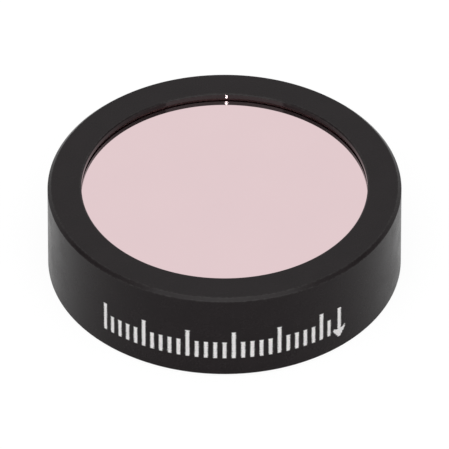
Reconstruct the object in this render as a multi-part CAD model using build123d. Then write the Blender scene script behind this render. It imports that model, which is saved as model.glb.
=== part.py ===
from build123d import *
import os

# A half-inch optical bandpass filter in its mounting ring, in millimetres.
# A turned ring holds a coated glass disc behind a thin front lip. Black epoxy seals the disc's edge,
# and a plain ring pressed in from the rear backs it up.
# The origin is the centre of the rear face. +Z is the optical axis, towards the front.

# Housing ring
HOUSING_DIAMETER = 12.5
HOUSING_THICKNESS = 3.5
WALL_THICKNESS = 0.5
LIP_WIDTH = 0.7
LIP_THICKNESS = 0.2
LIP_EDGE_BREAK = 0.04
FRONT_CHAMFER = 0.12
REAR_CHAMFER = 0.08
POCKET_CORNER_RADIUS = 0.1
POCKET_LEAD_IN = 0.1

# Filter disc
DISC_THICKNESS = 2.0
DISC_CLEARANCE = 0.1
DISC_BEVEL = 0.12

# Epoxy: its thickness under the lip, and how far it stops short of the lip's edge
BOND_THICKNESS = 0.07
BOND_SET_BACK = 0.1

# Retaining ring
RETAINER_WIDTH = 0.7
RETAINER_SET_BACK = 0.2
RETAINER_LEAD_IN = 0.1
RETAINER_EDGE_BREAK = 0.08

# Radii that follow
housing_radius = HOUSING_DIAMETER / 2
pocket_radius = housing_radius - WALL_THICKNESS
aperture_radius = pocket_radius - LIP_WIDTH
disc_radius = pocket_radius - DISC_CLEARANCE
bond_radius = aperture_radius + BOND_SET_BACK
retainer_opening_radius = pocket_radius - RETAINER_WIDTH

# Heights that follow, from the front down
lip_underside = HOUSING_THICKNESS - LIP_THICKNESS
disc_front = lip_underside - BOND_THICKNESS
disc_rear = disc_front - DISC_THICKNESS


def half_section(*points):
    """A face in the XZ plane, from the corners of a half section as (radius, height)."""
    return Plane.XZ * make_face(Polyline(*points, close=True))


def rectangle_section(inner_radius, outer_radius, bottom, top):
    """The half section of a plain washer, sleeve or disc."""
    return half_section(
        (inner_radius, bottom),
        (outer_radius, bottom),
        (outer_radius, top),
        (inner_radius, top),
    )


def corner(section, radius, height):
    """The section's corner at a radius and height."""
    return section.vertices().sort_by_distance((radius, 0, height))[0]


def turn(section):
    """The solid of revolution that a half section makes about the optical axis."""
    return revolve(section, Axis.Z)


def make_housing_ring():
    """The ring as turned: outer wall, front lip, pocket, and every edge broken."""
    section = half_section(
        (pocket_radius, 0),
        (housing_radius, 0),
        (housing_radius, HOUSING_THICKNESS),
        (aperture_radius, HOUSING_THICKNESS),
        (aperture_radius, lip_underside),
        (pocket_radius, lip_underside),
    )
    section = chamfer(corner(section, housing_radius, HOUSING_THICKNESS), FRONT_CHAMFER)
    section = chamfer(corner(section, housing_radius, 0), REAR_CHAMFER)
    section = chamfer(corner(section, aperture_radius, HOUSING_THICKNESS), LIP_EDGE_BREAK)
    section = chamfer(corner(section, pocket_radius, 0), POCKET_LEAD_IN)
    section = fillet(corner(section, pocket_radius, lip_underside), POCKET_CORNER_RADIUS)
    return turn(section)


def make_filter_disc():
    """The glass disc, with a protective bevel on both rims."""
    section = rectangle_section(0, disc_radius, disc_rear, disc_front)
    section = chamfer(corner(section, disc_radius, disc_front), DISC_BEVEL)
    section = chamfer(corner(section, disc_radius, disc_rear), DISC_BEVEL)
    return turn(section)


def make_retaining_ring():
    """The ring pressed in behind the disc, with a lead-in at the edge that enters first."""
    section = rectangle_section(retainer_opening_radius, pocket_radius, RETAINER_SET_BACK, disc_rear)
    section = chamfer(corner(section, pocket_radius, disc_rear), RETAINER_LEAD_IN)
    section = chamfer(corner(section, retainer_opening_radius, RETAINER_SET_BACK), RETAINER_EDGE_BREAK)
    return turn(section)


def make_epoxy_bond(housing_ring, filter_disc, retaining_ring):
    """What the epoxy fills: the gap under the lip, the gap round the disc and its bevels."""
    under_lip = turn(rectangle_section(bond_radius, pocket_radius, disc_front, lip_underside))
    around_disc = turn(
        rectangle_section(
            disc_radius - DISC_BEVEL,
            pocket_radius,
            disc_rear - RETAINER_LEAD_IN,
            disc_front,
        )
    )
    return under_lip + around_disc - housing_ring - filter_disc - retaining_ring


housing_ring = make_housing_ring()
filter_disc = make_filter_disc()
retaining_ring = make_retaining_ring()

nodes = {
    "housing_ring": housing_ring,
    "filter_disc": filter_disc,
    "epoxy_bond": make_epoxy_bond(housing_ring, filter_disc, retaining_ring),
    "retaining_ring": retaining_ring,
}

os.makedirs("parts", exist_ok=True)
for name, solid in nodes.items():
    export_step(solid, f"parts/{name}.step")
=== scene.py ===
import math
import random

import bpy
from mathutils import Matrix, Vector


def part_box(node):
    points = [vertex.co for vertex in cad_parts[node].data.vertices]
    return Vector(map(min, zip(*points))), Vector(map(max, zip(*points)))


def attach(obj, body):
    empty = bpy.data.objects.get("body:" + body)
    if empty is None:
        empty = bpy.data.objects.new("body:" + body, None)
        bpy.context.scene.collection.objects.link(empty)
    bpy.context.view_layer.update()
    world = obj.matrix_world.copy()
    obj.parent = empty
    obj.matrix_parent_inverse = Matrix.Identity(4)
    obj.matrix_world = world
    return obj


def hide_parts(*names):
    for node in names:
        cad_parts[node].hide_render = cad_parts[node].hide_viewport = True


# A half-inch optical bandpass filter on a white table, in metres.
# +Z is the optical axis. The camera looks along +Y.

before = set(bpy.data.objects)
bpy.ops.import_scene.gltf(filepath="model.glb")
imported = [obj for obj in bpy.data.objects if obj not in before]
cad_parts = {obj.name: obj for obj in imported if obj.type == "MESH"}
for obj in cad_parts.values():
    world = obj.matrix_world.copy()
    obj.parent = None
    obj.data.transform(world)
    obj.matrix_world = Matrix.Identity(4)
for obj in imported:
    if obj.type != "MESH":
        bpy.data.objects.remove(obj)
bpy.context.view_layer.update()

MM = 0.001
SEGMENTS = 384
ARC_STEPS = 6

# Sizes of the turned pieces that the frame's boxes don't give.
# The bead is epoxy that bulges out under the lip.
LIP_WIDTH = 0.70 * MM
LIP_EDGE_BREAK = 0.04 * MM
FRONT_CHAMFER = 0.12 * MM
REAR_CHAMFER = 0.08 * MM
POCKET_LEAD_IN = 0.10 * MM
POCKET_CORNER_RADIUS = 0.10 * MM
DISC_BEVEL = 0.12 * MM
BOND_SET_BACK = 0.10 * MM
BOND_BEAD = 0.055 * MM
BOND_EDGE = 0.02 * MM
BOND_WAVER = 0.015 * MM
RETAINER_WIDTH = 0.70 * MM
RETAINER_LEAD_IN = 0.10 * MM
RETAINER_EDGE_BREAK = 0.08 * MM

# Radii that round the edges left by the lathe and by the anodising
TURNED_EDGE = 0.025 * MM
GLASS_EDGE = 0.015 * MM
HIDDEN_EDGE = 0.008 * MM
WEAR_REACH = 0.035 * MM

# The laser marks on the barrel: an arrow for the way the light goes, and a plain scale beside it
MARK_DEPTH = 0.006 * MM
MARK_RISE = 0.004 * MM
HATCH_PITCH = 0.045 * MM
HATCH_LINE = 0.040 * MM
HATCH_JITTER = 0.009 * MM
HATCH_SWELL = 0.018 * MM
HATCH_SWELL_PITCH = 0.115 * MM
HATCH_SPAN = 0.15 * MM
ARROW_AZIMUTH = 40.15
ARROW_TIP = 0.58 * MM
ARROW_LENGTH = 1.33 * MM
ARROW_STROKE = 0.160 * MM
ARROW_HEAD_RISE = 0.435 * MM
ARROW_HEAD_WIDTH = 0.54 * MM
ARROW_TIP_WIDTH = 0.09 * MM
ARROW_OUTER_LEAN = 0.70
ARROW_NOTCH_RISE = 0.30 * MM
ARROW_INNER_LEAN = 1.85
TICK_FIRST = -42
TICK_LAST = 36
TICK_STEP = 3
TICKS_TO_A_LONG_ONE = 5
TICK_FOOT = 0.83 * MM
TICK_LONG = 1.17 * MM
TICK_SHORT = 0.72 * MM
TICK_STROKE = 0.145 * MM
LINE_CHANCE = 11

# Black anodising: dull blacks that drift into each other, paler specks, and the tint of rubbed edges
BLACK_DARK = (0.0078, 0.0052, 0.0060)
BLACK_LIGHT = (0.0126, 0.0088, 0.0098)
BLACK_SPECK = (0.020, 0.015, 0.016)
BLACK_RUBBED = (0.030, 0.027, 0.027)
BLACK_IOR = 1.25
BLACK_ROUGHNESS = 0.26
BLACK_ROUGHNESS_DRIFT = 0.04
BLACK_ROUGHNESS_GRAIN = 0.02
BORE_ROUGHNESS = 0.06
BORE_RELIEF_SHARE = 0.1
BLAST_GRAIN = 0.035 * MM
BLACK_CLOUD = 0.9 * MM
SPECK_BAND = (0.56, 0.74)
CHIP_GRAIN = 0.12 * MM
CHIP_BAND = (0.40, 0.66)
CHIP_SHARES = (0.15, 0.85)
TURNING_PITCH = 0.03 * MM
TURNING_SHARE = 0.5
BLACK_RELIEF = 0.0007 * MM

# The mirror coating, in two close tints
PINK_DEEP = (0.750, 0.582, 0.604)
PINK_PALE = (0.770, 0.598, 0.616)
PINK_CLOUD = 2.4 * MM
HAZE_GRAIN = 0.25 * MM
HAZE_BAND = (0.30, 0.75)
HAZE_ROUGHNESS = (0.012, 0.030)

# Epoxy: black, with its colours made paler and pinker as painted light, the pink glow of the mirror in the
# shaded gap under the lip
EPOXY_DARK_WITH_PAINTED_LIGHT = (0.040, 0.026, 0.026)
EPOXY_PALE_WITH_PAINTED_LIGHT = (0.065, 0.042, 0.041)
EPOXY_IOR = 1.3
EPOXY_LUMP = 0.15 * MM
EPOXY_RELIEF = 0.01 * MM
EPOXY_ROUGHNESS = (0.42, 0.58)
EPOXY_CHANCE = 4
EPOXY_WAVES_ROUND = (3, 5, 8, 13, 21)

# Bleached anodising
LASER_DULL = (0.86, 0.84, 0.84)
LASER_BRIGHT = (0.94, 0.925, 0.92)
LASER_BURN = (0.36, 0.34, 0.34)
LASER_BURN_SHARE = 0.30
LASER_BURN_BAND = (0.30, 0.48)
LASER_PULSE = 0.03 * MM
LASER_CLOUD = 0.4 * MM
LASER_RELIEF = 0.002 * MM
LASER_ROUGHNESS = (0.65, 0.85)

# A band is the range of a noise over which its effect goes from none to full. Most noise is inside this one.
NOISE_BAND = (0.3, 0.7)

# The studio. A flag is a dark patch of the white surround, given by the direction towards it: how far it is
# to the side, and how high its foot and its top are, each from where it starts to where it is full.
AMBIENT = 0.55
FLAG_LEVEL = 0.3
FLAG_SIDE = (0.70, 0.95)
FLAG_FOOT = (0.28, 0.40)
FLAG_TOP = (0.60, 0.75)
FLOOR_WHITE = 0.9
FLOOR_GLOW = 1.07
FLOOR_SHARE_FOR_CAMERA = 0.85
FLOOR_SHARE_FOR_MIRROR = 0.26
FLOOR_DROP = 0.002 * MM
FLOOR_HALF_SIDE = 1.5

# Lamps: azimuth and elevation in degrees, distance, width and height in metres, and radiance
OVERHEAD_LAMP = (0, 50, 0.30, 0.42, 0.16, 1.9)
SMALL_LAMP = (-1.5, 40, 0.50, 0.006, 0.006, 700)

# The camera, fitted to the photograph
CAMERA_ELEVATION = 40.03
CAMERA_DISTANCE = 0.545
CAMERA_CLIP = (0.01, 10)
PIXELS_PER_METRE = 28270
AIM_HEIGHT = 1.686 * MM
IMAGE_SIDE = 449
SENSOR = 36

housing_low, housing_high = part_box("housing_ring")
disc_low, disc_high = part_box("filter_disc")
bond_low, bond_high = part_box("epoxy_bond")
retainer_low, retainer_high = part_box("retaining_ring")

rear = housing_low.z
front = housing_high.z
housing_radius = housing_high.x
pocket_radius = retainer_high.x
aperture_radius = pocket_radius - LIP_WIDTH
lip_underside = bond_high.z


def corner_shape(corners, i):
    """How corner i of a half section turns.

    Returns unit vectors along both its sides, both outward normals, the angle between them, and how far the
    rounding reaches along each side.
    """
    radius, height, edge = corners[i]
    here = Vector((radius, height))
    before = (Vector(corners[i - 1][:2]) - here).normalized()
    after = (Vector(corners[(i + 1) % len(corners)][:2]) - here).normalized()
    start_normal = Vector((-before.y, before.x))
    end_normal = Vector((after.y, -after.x))
    turn = math.atan2(
        start_normal.x * end_normal.y - start_normal.y * end_normal.x,
        start_normal.dot(end_normal),
    )
    return before, after, start_normal, end_normal, turn, edge * math.tan(abs(turn) / 2)


def worn_reach(corners, reaches, i, j):
    """How far wear goes from corner i towards corner j. It ends well short of the wear of corner j."""
    side = (Vector(corners[i][:2]) - Vector(corners[j][:2])).length
    return min(WEAR_REACH, (side - reaches[i] - reaches[j]) / 3)


def rounded_profile(corners):
    """Points, outward normals and edge wear of a closed half section with rounded corners.

    A corner is (radius, height, edge radius), and the corners go anticlockwise with the radius to the right
    and the height up. Wear is 1 round an exposed corner, and falls to 0 a short way along each side.
    """
    points = []
    normals = []
    wear = []
    count = len(corners)
    reaches = [corner_shape(corners, i)[-1] for i in range(count)]
    for i, (radius, height, edge) in enumerate(corners):
        before, after, start_normal, end_normal, turn, reach = corner_shape(corners, i)
        here = Vector((radius, height))
        side = math.copysign(1.0, turn)
        centre = here + before * reach - start_normal * edge * side
        points.append(here + before * (reach + worn_reach(corners, reaches, i, i - 1)))
        normals.append(start_normal)
        wear.append(0)
        for step in range(ARC_STEPS + 1):
            normal = Matrix.Rotation(turn * step / ARC_STEPS, 2) @ start_normal
            points.append(centre + normal * edge * side)
            normals.append(normal)
            wear.append(1 if edge == TURNED_EDGE else 0)
        points.append(here + after * (reach + worn_reach(corners, reaches, i, (i + 1) % count)))
        normals.append(end_normal)
        wear.append(0)
    return points, normals, wear


def turned_points(points, normals, waver=None):
    """Copies of a half section's points and normals at every segment round the optical axis.

    waver gives, for a radius and an angle, how far a point there moves outwards.
    """
    vertices = []
    vertex_normals = []
    for segment in range(SEGMENTS):
        angle = 2 * math.pi * segment / SEGMENTS
        cosine = math.cos(angle)
        sine = math.sin(angle)
        for point, normal in zip(points, normals):
            radius = point.x + (waver(point.x, angle) if waver else 0)
            vertices.append((radius * cosine, radius * sine, point.y))
            vertex_normals.append((normal.x * cosine, normal.x * sine, normal.y))
    return vertices, vertex_normals


def turned_faces(count, closed):
    """The faces between neighbouring copies of a half section of count points."""
    faces = []
    for segment in range(SEGMENTS):
        here = segment * count
        there = (segment + 1) % SEGMENTS * count
        for i in range(count if closed else count - 1):
            j = (i + 1) % count
            faces.append((here + i, there + i, there + j, here + j))
    return faces


def lathe(name, corners, node, material, waver=None):
    """A closed ring turned about the optical axis that stands for a node."""
    points, normals, wear = rounded_profile(corners)
    vertices, vertex_normals = turned_points(points, normals, waver)
    faces = turned_faces(len(points), closed=True)
    return add_piece(name, vertices, faces, node, material, vertex_normals, wear * SEGMENTS)


def turned_disc(name, corners, node, material):
    """A closed disc that stands for a node. Its half section starts and ends on the optical axis."""
    points, normals, wear = rounded_profile(corners)
    on_axis = ARC_STEPS + 3
    points = points[on_axis:-on_axis]
    normals = normals[on_axis:-on_axis]
    count = len(points)
    vertices, vertex_normals = turned_points(points, normals)
    faces = turned_faces(count, closed=False)
    low_pole = len(vertices)
    high_pole = low_pole + 1
    vertices += [(0, 0, corners[0][1]), (0, 0, corners[-1][1])]
    vertex_normals += [(0, 0, -1), (0, 0, 1)]
    for segment in range(SEGMENTS):
        here = segment * count
        there = (segment + 1) % SEGMENTS * count
        faces.append((low_pole, there, here))
        faces.append((high_pole, here + count - 1, there + count - 1))
    return add_piece(name, vertices, faces, node, material, vertex_normals)


def add_piece(name, vertices, faces, node, material, vertex_normals=None, wear=None):
    """A mesh on the object's body, smooth with its own normals where these are given."""
    mesh = bpy.data.meshes.new(name)
    mesh.from_pydata(vertices, [], faces)
    if wear:
        mesh.attributes.new("edge_wear", "FLOAT", "POINT").data.foreach_set("value", wear)
    mesh.validate()
    if vertex_normals:
        mesh.shade_smooth()
        mesh.normals_split_custom_set_from_vertices(vertex_normals)
    mesh.materials.append(material)
    piece = bpy.data.objects.new(name, mesh)
    bpy.context.scene.collection.objects.link(piece)
    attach(piece, "root")
    if node:
        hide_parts(node)
    return piece


def feed(tree, value, socket):
    """Links a socket to another, or sets it to a plain number."""
    if isinstance(value, (int, float)):
        socket.default_value = value
    else:
        tree.links.new(value, socket)


def calculate(tree, operation, first, second=0.0):
    """The result of a Math node on two sockets or numbers."""
    node = tree.nodes.new("ShaderNodeMath")
    node.operation = operation
    feed(tree, first, node.inputs[0])
    feed(tree, second, node.inputs[1])
    return node.outputs[0]


def ramp(tree, value, low, high, at_low, at_high):
    """The value turned from low..high to at_low..at_high with a smooth step."""
    node = tree.nodes.new("ShaderNodeMapRange")
    node.interpolation_type = "SMOOTHSTEP"
    feed(tree, value, node.inputs["Value"])
    node.inputs["From Min"].default_value = low
    node.inputs["From Max"].default_value = high
    feed(tree, at_low, node.inputs["To Min"])
    feed(tree, at_high, node.inputs["To Max"])
    return node.outputs["Result"]


def blend(tree, share, first, second):
    """A colour that goes from the first to the second."""
    node = tree.nodes.new("ShaderNodeMix")
    node.data_type = "RGBA"
    feed(tree, share, node.inputs["Factor"])
    for colour, socket in ((first, node.inputs["A"]), (second, node.inputs["B"])):
        if isinstance(colour, tuple):
            socket.default_value = (*colour, 1)
        else:
            tree.links.new(colour, socket)
    return node.outputs["Result"]


def object_place(tree):
    """Sockets for the place on the object, its distance from the optical axis, and its height."""
    place = tree.nodes.new("ShaderNodeTexCoord").outputs["Object"]
    axes = tree.nodes.new("ShaderNodeSeparateXYZ")
    tree.links.new(place, axes.inputs[0])
    across = calculate(tree, "MULTIPLY", axes.outputs["X"], axes.outputs["X"])
    along = calculate(tree, "MULTIPLY", axes.outputs["Y"], axes.outputs["Y"])
    radius = calculate(tree, "SQRT", calculate(tree, "ADD", across, along))
    return place, radius, axes.outputs["Z"]


def grain(tree, place, size, detail=2.0):
    """Noise in patches of about this size."""
    node = tree.nodes.new("ShaderNodeTexNoise")
    tree.links.new(place, node.inputs["Vector"])
    node.inputs["Scale"].default_value = 1 / size
    node.inputs["Detail"].default_value = detail
    return node.outputs["Fac"]


def turning_marks(tree, radius, height, pitch):
    """Uneven rings of about this pitch, as a lathe tool leaves on faces and on barrels alike."""
    node = tree.nodes.new("ShaderNodeTexNoise")
    node.noise_dimensions = "1D"
    tree.links.new(calculate(tree, "ADD", radius, height), node.inputs["W"])
    node.inputs["Scale"].default_value = 1 / pitch
    node.inputs["Detail"].default_value = 3
    return node.outputs["Fac"]


def relief(tree, shader, height, depth):
    """Fine relief of this depth in the shading normal, where height goes from 0 to 1."""
    node = tree.nodes.new("ShaderNodeBump")
    node.inputs["Distance"].default_value = depth
    tree.links.new(height, node.inputs["Height"])
    tree.links.new(node.outputs["Normal"], shader.inputs["Normal"])


def new_material(name):
    """A material with only its Principled shader and output. Returns it, its node tree and the shader."""
    material = bpy.data.materials.new(name)
    material.use_nodes = True
    tree = material.node_tree
    return material, tree, tree.nodes["Principled BSDF"]


def anodised(name, bright_bore):
    """Black anodised aluminium, blasted before anodising, over faint turning marks.

    A bright bore is smoother inside the aperture.
    """
    material, tree, shader = new_material(name)
    place, radius, height = object_place(tree)
    blast = grain(tree, place, BLAST_GRAIN, 3)
    clouds = grain(tree, place, BLACK_CLOUD, 3)
    marks = turning_marks(tree, radius, height, TURNING_PITCH)
    black = blend(tree, clouds, BLACK_DARK, BLACK_LIGHT)
    speckled = blend(tree, ramp(tree, blast, *SPECK_BAND, 0, 1), black, BLACK_SPECK)
    wear = tree.nodes.new("ShaderNodeAttribute")
    wear.attribute_name = "edge_wear"
    chips = ramp(tree, grain(tree, place, CHIP_GRAIN, 4), *CHIP_BAND, *CHIP_SHARES)
    rubbed = calculate(tree, "MULTIPLY", wear.outputs["Fac"], chips)
    tree.links.new(blend(tree, rubbed, speckled, BLACK_RUBBED), shader.inputs["Base Color"])
    least = BLACK_ROUGHNESS - BLACK_ROUGHNESS_DRIFT
    most = BLACK_ROUGHNESS + BLACK_ROUGHNESS_DRIFT
    drift = ramp(tree, clouds, *NOISE_BAND, least, most)
    fine = ramp(tree, blast, *NOISE_BAND, -BLACK_ROUGHNESS_GRAIN, BLACK_ROUGHNESS_GRAIN)
    roughness = calculate(tree, "ADD", drift, fine)
    texture = calculate(tree, "ADD", blast, calculate(tree, "MULTIPLY", marks, TURNING_SHARE))
    if bright_bore:
        inside = ramp(tree, radius, aperture_radius, aperture_radius + LIP_EDGE_BREAK, 1, 0)
        roughness = ramp(tree, inside, 0, 1, roughness, BORE_ROUGHNESS)
        texture = calculate(tree, "MULTIPLY", texture, ramp(tree, inside, 0, 1, 1, BORE_RELIEF_SHARE))
    tree.links.new(roughness, shader.inputs["Roughness"])
    shader.inputs["IOR"].default_value = BLACK_IOR
    relief(tree, shader, texture, BLACK_RELIEF)
    return material


def mirror_coating(name):
    """The pink dielectric stack on the glass, with the faint unevenness of a polished and cleaned face."""
    material, tree, shader = new_material(name)
    place, radius, height = object_place(tree)
    tint = blend(tree, grain(tree, place, PINK_CLOUD, 2), PINK_DEEP, PINK_PALE)
    tree.links.new(tint, shader.inputs["Base Color"])
    haze = ramp(tree, grain(tree, place, HAZE_GRAIN, 4), *HAZE_BAND, *HAZE_ROUGHNESS)
    tree.links.new(haze, shader.inputs["Roughness"])
    shader.inputs["Metallic"].default_value = 1
    return material


def epoxy(name):
    """Black epoxy, matt and slightly lumpy where it was squeezed out. Its colour is painted paler and pinker
    than black: painted light from the pink mirror in the shaded gap under the lip.
    """
    material, tree, shader = new_material(name)
    place, radius, height = object_place(tree)
    lumps = grain(tree, place, EPOXY_LUMP, 3)
    # painted light: the epoxy's paler, pinker colour lifts the shade in the gap under the lip
    tree.links.new(blend(tree, lumps, EPOXY_DARK_WITH_PAINTED_LIGHT, EPOXY_PALE_WITH_PAINTED_LIGHT), shader.inputs["Base Color"])
    roughness = ramp(tree, lumps, *NOISE_BAND, *EPOXY_ROUGHNESS)
    tree.links.new(roughness, shader.inputs["Roughness"])
    shader.inputs["IOR"].default_value = EPOXY_IOR
    relief(tree, shader, lumps, EPOXY_RELIEF)
    return material


def laser_white(name):
    """Anodising bleached by a laser: off-white, matt, and finely mottled by the pulses."""
    material, tree, shader = new_material(name)
    place, radius, height = object_place(tree)
    pulses = grain(tree, place, LASER_PULSE, 3)
    white = blend(tree, grain(tree, place, LASER_CLOUD, 2), LASER_DULL, LASER_BRIGHT)
    burnt = ramp(tree, pulses, *LASER_BURN_BAND, LASER_BURN_SHARE, 0)
    tree.links.new(blend(tree, burnt, white, LASER_BURN), shader.inputs["Base Color"])
    roughness = ramp(tree, pulses, *NOISE_BAND, *LASER_ROUGHNESS)
    tree.links.new(roughness, shader.inputs["Roughness"])
    relief(tree, shader, pulses, LASER_RELIEF)
    return material


def make_housing_ring(material):
    corners = (
        (pocket_radius + POCKET_LEAD_IN, rear, TURNED_EDGE),
        (housing_radius - REAR_CHAMFER, rear, TURNED_EDGE),
        (housing_radius, rear + REAR_CHAMFER, TURNED_EDGE),
        (housing_radius, front - FRONT_CHAMFER, TURNED_EDGE),
        (housing_radius - FRONT_CHAMFER, front, TURNED_EDGE),
        (aperture_radius + LIP_EDGE_BREAK, front, TURNED_EDGE),
        (aperture_radius, front - LIP_EDGE_BREAK, TURNED_EDGE),
        (aperture_radius, lip_underside, HIDDEN_EDGE),
        (pocket_radius, lip_underside, POCKET_CORNER_RADIUS),
        (pocket_radius, rear + POCKET_LEAD_IN, TURNED_EDGE),
    )
    return lathe("anodised_housing_ring", corners, "housing_ring", material)


def make_filter_disc(material):
    radius = disc_high.x
    corners = (
        (0, disc_low.z, 0),
        (radius - DISC_BEVEL, disc_low.z, GLASS_EDGE),
        (radius, disc_low.z + DISC_BEVEL, GLASS_EDGE),
        (radius, disc_high.z - DISC_BEVEL, GLASS_EDGE),
        (radius - DISC_BEVEL, disc_high.z, GLASS_EDGE),
        (0, disc_high.z, 0),
    )
    return turned_disc("coated_filter_disc", corners, "filter_disc", material)


def make_epoxy_bond(material):
    inner = aperture_radius + BOND_SET_BACK - BOND_BEAD
    disc_radius = disc_high.x
    corners = (
        (disc_radius, bond_low.z, HIDDEN_EDGE),
        (pocket_radius, bond_low.z, HIDDEN_EDGE),
        (pocket_radius, bond_high.z, HIDDEN_EDGE),
        (inner, bond_high.z, BOND_EDGE),
        (inner, disc_high.z, BOND_EDGE),
        (disc_radius, disc_high.z, HIDDEN_EDGE),
    )
    chance = random.Random(EPOXY_CHANCE)
    waves = [(count, chance.uniform(0, 2 * math.pi)) for count in EPOXY_WAVES_ROUND]

    def squeezed_edge(radius, angle):
        fade = max(0, 1 - (radius - inner) / BOND_BEAD)
        share = sum(math.cos(count * angle + phase) for count, phase in waves) / len(waves)
        return fade * BOND_WAVER * (1 + share) / 2

    return lathe("epoxy_bond_line", corners, "epoxy_bond", material, squeezed_edge)


def make_retaining_ring(material):
    opening = pocket_radius - RETAINER_WIDTH
    low = retainer_low.z
    high = retainer_high.z
    corners = (
        (opening + RETAINER_EDGE_BREAK, low, TURNED_EDGE),
        (pocket_radius, low, HIDDEN_EDGE),
        (pocket_radius, high - RETAINER_LEAD_IN, HIDDEN_EDGE),
        (pocket_radius - RETAINER_LEAD_IN, high, HIDDEN_EDGE),
        (opening, high, TURNED_EDGE),
        (opening, low + RETAINER_EDGE_BREAK, TURNED_EDGE),
    )
    return lathe(
        "anodised_retaining_ring", corners, "retaining_ring", material
    )


def hatch_lines(shapes):
    """Laser lines that fill the shapes. A shape gives the arcs (start, end) that it covers at a height."""
    chance = random.Random(LINE_CHANCE)
    vertices = []
    faces = []
    rows = int((front - rear) / HATCH_PITCH)
    for row in range(rows):
        height = rear + (row + 0.5) * HATCH_PITCH
        swell = HATCH_SWELL * math.cos(2 * math.pi * height / HATCH_SWELL_PITCH)
        for start, end in merged(sorted(arc for shape in shapes for arc in shape(height))):
            start += chance.uniform(-HATCH_JITTER, HATCH_JITTER) - swell
            end += chance.uniform(-HATCH_JITTER, HATCH_JITTER) + swell
            if end - start > HATCH_LINE:
                add_line(vertices, faces, start, end, height)
    return vertices, faces


def merged(arcs):
    """Sorted arcs, with those that overlap joined."""
    joined = []
    for start, end in arcs:
        if joined and start <= joined[-1][1]:
            joined[-1] = (joined[-1][0], max(end, joined[-1][1]))
        else:
            joined.append((start, end))
    return joined


def add_line(vertices, faces, start, end, height):
    """One laser line, a thin closed plate with pointed ends that bends round the barrel between two arcs."""
    point = HATCH_LINE / 3
    half = HATCH_LINE / 2
    spans = math.ceil((end - start) / HATCH_SPAN)
    step = (end - start - 2 * point) / spans
    along = [start + point + step * i for i in range(spans + 1)]
    outline = [(start, 0)] + [(arc, -half) for arc in along]
    outline += [(end, 0)] + [(arc, half) for arc in reversed(along)]
    first = len(vertices)
    for radius in (housing_radius - MARK_DEPTH, housing_radius + MARK_RISE):
        for arc, rise in outline:
            angle = arc / housing_radius
            vertices.append((radius * math.sin(angle), -radius * math.cos(angle), height + rise))
    count = len(outline)
    panels = [(0, 1, count - 1), (spans + 1, spans + 2, spans + 3)]
    panels += [(i, i + 1, count - 1 - i, count - i) for i in range(1, spans + 1)]
    for panel in panels:
        faces.append(tuple(first + i for i in reversed(panel)))
        faces.append(tuple(first + count + i for i in panel))
    for i in range(count):
        j = (i + 1) % count
        faces.append((first + i, first + j, first + count + j, first + count + i))


def upright(centre, low, high, stroke):
    """A shape: an upright stroke at an arc length."""

    def arcs(height):
        return [(centre - stroke / 2, centre + stroke / 2)] if low <= height <= high else []

    return arcs


def arrow_head(centre):
    """A shape: an arrow head with two blunt barbs that lean outwards from its tip."""

    def arcs(height):
        above = height - ARROW_TIP
        if not 0 <= above <= ARROW_HEAD_RISE:
            return []
        outer = min(ARROW_TIP_WIDTH / 2 + above * ARROW_OUTER_LEAN, ARROW_HEAD_WIDTH / 2)
        inner = max(0, (above - ARROW_NOTCH_RISE) * ARROW_INNER_LEAN)
        return [(centre - outer, centre - inner), (centre + inner, centre + outer)]

    return arcs


def make_direction_arrow(material):
    centre = math.radians(ARROW_AZIMUTH) * housing_radius
    shaft = upright(centre, ARROW_TIP, ARROW_TIP + ARROW_LENGTH, ARROW_STROKE)
    vertices, faces = hatch_lines((shaft, arrow_head(centre)))
    return add_piece("laser_direction_arrow", vertices, faces, None, material)


def make_plain_scale(material):
    shapes = []
    for i, azimuth in enumerate(range(TICK_FIRST, TICK_LAST + 1, TICK_STEP)):
        length = TICK_SHORT if i % TICKS_TO_A_LONG_ONE else TICK_LONG
        centre = math.radians(azimuth) * housing_radius
        shapes.append(upright(centre, TICK_FOOT, TICK_FOOT + length, TICK_STROKE))
    vertices, faces = hatch_lines(shapes)
    return add_piece("laser_plain_scale", vertices, faces, None, material)


def seen_by_eye(tree):
    """A socket that is 1 for camera, glossy and transmission rays, and 0 for the rest."""
    path = tree.nodes.new("ShaderNodeLightPath")
    first = calculate(tree, "MAXIMUM", path.outputs["Is Camera Ray"], path.outputs["Is Glossy Ray"])
    return calculate(tree, "MAXIMUM", first, path.outputs["Is Transmission Ray"])


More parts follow.
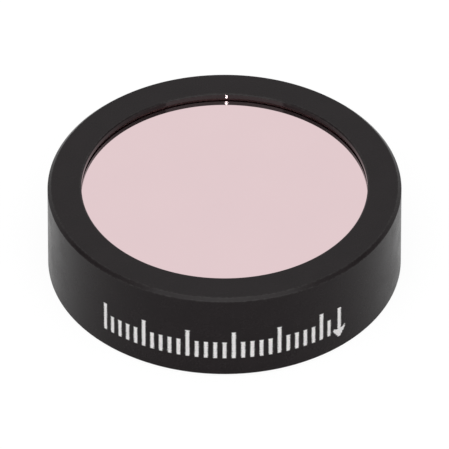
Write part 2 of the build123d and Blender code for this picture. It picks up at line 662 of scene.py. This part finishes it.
def make_world():
    """A white studio with a dark flag high on the left and right, and a dimmer light on matt surfaces."""
    world = bpy.data.worlds.new("studio")
    bpy.context.scene.world = world
    world.use_nodes = True
    tree = world.node_tree
    tree.nodes.clear()
    output = tree.nodes.new("ShaderNodeOutputWorld")
    ambient = tree.nodes.new("ShaderNodeBackground")
    ambient.inputs["Color"].default_value = (1, 1, 1, 1)
    ambient.inputs["Strength"].default_value = AMBIENT
    white = tree.nodes.new("ShaderNodeBackground")
    white.inputs["Color"].default_value = (1, 1, 1, 1)
    axes = tree.nodes.new("ShaderNodeSeparateXYZ")
    tree.links.new(tree.nodes.new("ShaderNodeTexCoord").outputs["Generated"], axes.inputs[0])
    sideways = calculate(tree, "ABSOLUTE", axes.outputs["X"])
    above_foot = ramp(tree, axes.outputs["Z"], *FLAG_FOOT, 0, 1)
    below_top = ramp(tree, axes.outputs["Z"], *FLAG_TOP, 1, 0)
    flag = calculate(tree, "MULTIPLY", ramp(tree, sideways, *FLAG_SIDE, 0, 1), above_foot)
    flag = calculate(tree, "MULTIPLY", flag, below_top)
    path = tree.nodes.new("ShaderNodeLightPath")
    level = calculate(tree, "MAXIMUM", ramp(tree, flag, 0, 1, 1, FLAG_LEVEL), path.outputs["Is Camera Ray"])
    tree.links.new(level, white.inputs["Strength"])
    mix = tree.nodes.new("ShaderNodeMixShader")
    tree.links.new(seen_by_eye(tree), mix.inputs["Fac"])
    tree.links.new(ambient.outputs[0], mix.inputs[1])
    tree.links.new(white.outputs[0], mix.inputs[2])
    tree.links.new(mix.outputs[0], output.inputs["Surface"])


def make_floor():
    """A white table that keeps the object's shadow. From below it is clear."""
    material = bpy.data.materials.new("white_table")
    material.use_nodes = True
    tree = material.node_tree
    tree.nodes.clear()
    output = tree.nodes.new("ShaderNodeOutputMaterial")
    surface = tree.nodes.new("ShaderNodeBsdfDiffuse")
    surface.inputs["Color"].default_value = (FLOOR_WHITE, FLOOR_WHITE, FLOOR_WHITE, 1)
    glow = tree.nodes.new("ShaderNodeEmission")
    glow.inputs["Strength"].default_value = FLOOR_GLOW
    path = tree.nodes.new("ShaderNodeLightPath")
    for_camera = calculate(tree, "MULTIPLY", path.outputs["Is Camera Ray"], FLOOR_SHARE_FOR_CAMERA)
    for_mirror = calculate(tree, "MULTIPLY", seen_by_eye(tree), FLOOR_SHARE_FOR_MIRROR)
    lit = tree.nodes.new("ShaderNodeMixShader")
    tree.links.new(calculate(tree, "MAXIMUM", for_camera, for_mirror), lit.inputs["Fac"])
    tree.links.new(surface.outputs[0], lit.inputs[1])
    tree.links.new(glow.outputs[0], lit.inputs[2])
    clear = tree.nodes.new("ShaderNodeBsdfTransparent")
    sides = tree.nodes.new("ShaderNodeMixShader")
    tree.links.new(tree.nodes.new("ShaderNodeNewGeometry").outputs["Backfacing"], sides.inputs["Fac"])
    tree.links.new(lit.outputs[0], sides.inputs[1])
    tree.links.new(clear.outputs[0], sides.inputs[2])
    tree.links.new(sides.outputs[0], output.inputs["Surface"])
    level = rear - FLOOR_DROP
    half = FLOOR_HALF_SIDE
    mesh = bpy.data.meshes.new("table")
    corners = [(-half, -half, level), (half, -half, level), (half, half, level), (-half, half, level)]
    mesh.from_pydata(corners, [], [(0, 1, 2, 3)])
    mesh.materials.append(material)
    floor = bpy.data.objects.new("table", mesh)
    bpy.context.scene.collection.objects.link(floor)


def aim(obj, place, target):
    """Puts a camera or lamp at a place and turns it towards the target."""
    obj.location = place
    obj.rotation_mode = "QUATERNION"
    obj.rotation_quaternion = (Vector(target) - Vector(place)).to_track_quat("-Z", "Y")


def direction(azimuth, elevation):
    """From the object towards azimuth, 0 being the camera's side, and elevation, in degrees."""
    a = math.radians(azimuth)
    e = math.radians(elevation)
    return Vector((math.sin(a) * math.cos(e), -math.cos(a) * math.cos(e), math.sin(e)))


def softbox(name, azimuth, elevation, distance, width, height, radiance):
    """A rectangular lamp of even brightness, seen in reflections and not by the camera."""
    light = bpy.data.lights.new(name, "AREA")
    light.shape = "RECTANGLE"
    light.size = width
    light.size_y = height
    light.energy = radiance * math.pi * width * height
    lamp = bpy.data.objects.new(name, light)
    bpy.context.scene.collection.objects.link(lamp)
    aim(lamp, direction(azimuth, elevation) * distance, (0, 0, 0))
    lamp.visible_camera = False
    return lamp


def make_camera():
    """The photograph's view: a long lens that looks at the object's axis from the front and above."""
    data = bpy.data.cameras.new("camera")
    data.sensor_width = SENSOR
    data.lens = PIXELS_PER_METRE * CAMERA_DISTANCE / IMAGE_SIDE * SENSOR
    data.clip_start, data.clip_end = CAMERA_CLIP
    camera = bpy.data.objects.new("camera", data)
    bpy.context.scene.collection.objects.link(camera)
    target = Vector((0, 0, AIM_HEIGHT))
    aim(camera, target + direction(0, CAMERA_ELEVATION) * CAMERA_DISTANCE, target)
    bpy.context.scene.camera = camera


anodised_black = anodised("black_anodised", bright_bore=True)
retainer_black = anodised("black_anodised_retainer", bright_bore=False)
bleached = laser_white("laser_bleached_anodising")

make_camera()
make_housing_ring(anodised_black)
make_filter_disc(mirror_coating("coated_glass"))
make_epoxy_bond(epoxy("black_epoxy"))
make_retaining_ring(retainer_black)
make_direction_arrow(bleached)
make_plain_scale(bleached)
make_world()
make_floor()
softbox("overhead_front", *OVERHEAD_LAMP)
softbox("small_lamp_by_the_camera", *SMALL_LAMP)

bpy.context.scene.view_settings.view_transform = "Standard"
